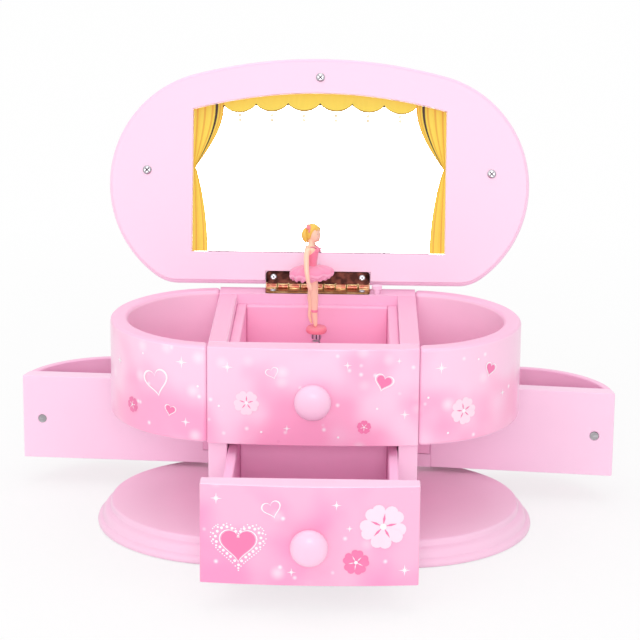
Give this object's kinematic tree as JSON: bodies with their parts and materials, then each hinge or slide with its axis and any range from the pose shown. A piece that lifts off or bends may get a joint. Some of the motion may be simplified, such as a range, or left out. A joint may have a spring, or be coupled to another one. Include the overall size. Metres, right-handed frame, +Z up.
{
  "type": "wind up music box",
  "caption": "Oval wind-up music box with a hinged mirror lid, swinging side trays, a drawer, open wells and a turning dancer on a spring stem.",
  "frame": {"origin": "underside of the base, below the widest line of the cabinet", "axes": "+X to the right, +Y to the back, +Z up"},
  "size_m": [0.3045, 0.2284, 0.2211],
  "materials": {
    "base": "painted pink",
    "body": "painted pink",
    "pale": "painted pale pink",
    "inside": "painted deep pink",
    "knob": "gloss",
    "hinge": "antique",
    "steel": "bright",
    "mirror": "silvered",
    "brass": "satin",
    "skin": "matte",
    "tutu": "net",
    "magnet": "nickel"
  },
  "bodies": {
    "cabinet": {"back_board": "body", "back_stage_liner": "inside", "base_plate": "base", "bay_ceiling": "inside", "body_hinge_leaf": "hinge", "body_hinge_screws": "steel", "column_magnets": "magnet", "left_end_shell": "body", "left_side_board": "body", "left_stage_liner": "inside", "left_tray_hinge_pin": "hinge", "left_tray_hinge_plate": "hinge", "left_well_floor": "inside", "lid_hinge_pin": "hinge", "movement_frame": "brass", "right_end_shell": "body", "right_side_board": "body", "right_stage_liner": "inside", "right_tray_hinge_pin": "hinge", "right_tray_hinge_plate": "hinge", "right_well_floor": "inside", "stage_floor": "inside", "tone_comb": "steel", "upper_front_panel": "body", "upper_knob": "knob"},
    "lid": {"lid_cover": "pale", "lid_frame": "pale", "mirror": "mirror", "lid_hinge_leaf": "hinge", "lid_screws": "steel", "lid_hinge_screws": "steel"},
    "left_tray": {"left_tray_board": "pale", "left_tray_floor": "inside", "left_tray_hinge_leaf": "hinge", "left_tray_magnet": "magnet", "left_tray_wall": "body"},
    "right_tray": {"right_tray_board": "pale", "right_tray_floor": "inside", "right_tray_hinge_leaf": "hinge", "right_tray_magnet": "magnet", "right_tray_wall": "body"},
    "drawer": {"drawer_back": "inside", "drawer_bottom": "inside", "drawer_front": "pale", "drawer_knob": "knob", "drawer_left_side": "inside", "drawer_right_side": "inside"},
    "winding": {"winding_key": "steel", "winding_arbor": "steel", "spring_barrel": "brass"},
    "cylinder": {"pinned_cylinder": "brass"},
    "fly": {"governor_fly": "brass"},
    "spindle": {"dancer_spindle": "steel"},
    "stem": {"stem_spring": "steel", "stem_ferrule": "steel"},
    "dancer": {"dancer_disc": "tutu", "dancer_body": "skin", "dancer_tutu": "tutu"},
    "stop": {"stop_plunger": "pale"}
  },
  "joints": [
    {"name": "lid_hinge", "type": "hinge", "parent": "cabinet", "child": "lid", "pos_m": [0, 0.052, 0.1097], "axis": [1, 0, 0], "range_deg": [0, 103.3]},
    {"name": "left_tray_swing", "type": "hinge", "parent": "cabinet", "child": "left_tray", "pos_m": [-0.04975, 0.05295, 0.035], "axis": [0, 0, 1], "range_deg": [-4.3, 93.7]},
    {"name": "right_tray_swing", "type": "hinge", "parent": "cabinet", "child": "right_tray", "pos_m": [0.04975, 0.05295, 0.035], "axis": [0, 0, -1], "range_deg": [-14.8, 83.2]},
    {"name": "drawer_slide", "type": "slide", "parent": "cabinet", "child": "drawer", "axis": [0, 1, 0], "range_m": [-0.008, 0.0555]},
    {"name": "key_turn", "type": "hinge", "parent": "cabinet", "child": "winding", "pos_m": [0, 0.033, 0.0715], "axis": [0, 1, 0], "continuous": true},
    {"name": "cylinder_spin", "type": "hinge", "parent": "cabinet", "child": "cylinder", "pos_m": [-0.012, 0.033, 0.0715], "axis": [0, 1, 0], "continuous": true},
    {"name": "fly_spin", "type": "hinge", "parent": "cabinet", "child": "fly", "pos_m": [-0.0205, 0.033, 0.0715], "axis": [0, 1, 0], "continuous": true},
    {"name": "spindle_spin", "type": "hinge", "parent": "cabinet", "child": "spindle", "pos_m": [0, 0.024, 0.0823], "axis": [0, 0, 1], "continuous": true},
    {"name": "dancer_fold", "type": "hinge", "parent": "cabinet", "child": "stem", "pos_m": [0, 0.024, 0.0874], "axis": [1, 0, 0], "range_deg": [0, 72], "deforming": ["stem_spring"]},
    {"name": "dancer_spin", "type": "hinge", "parent": "stem", "child": "dancer", "pos_m": [0, 0.024, 0.0948], "axis": [0, 0, 1], "continuous": true},
    {"name": "stop_press", "type": "slide", "parent": "cabinet", "child": "stop", "axis": [0, 0, 1], "range_m": [-0.0022, 0]}
  ],
  "couplings": [
    {"joint": "cylinder_spin", "follows": "key_turn", "ratio": -1},
    {"joint": "fly_spin", "follows": "key_turn", "ratio": 2.4},
    {"joint": "spindle_spin", "follows": "key_turn", "ratio": -3.6527},
    {"joint": "dancer_spin", "follows": "key_turn", "ratio": -3.6527},
    {"joint": "dancer_fold", "follows": "lid_hinge", "ratio": 0.69699},
    {"joint": "stop_press", "follows": "lid_hinge", "m_per_rad": -0.0012201}
  ]
}
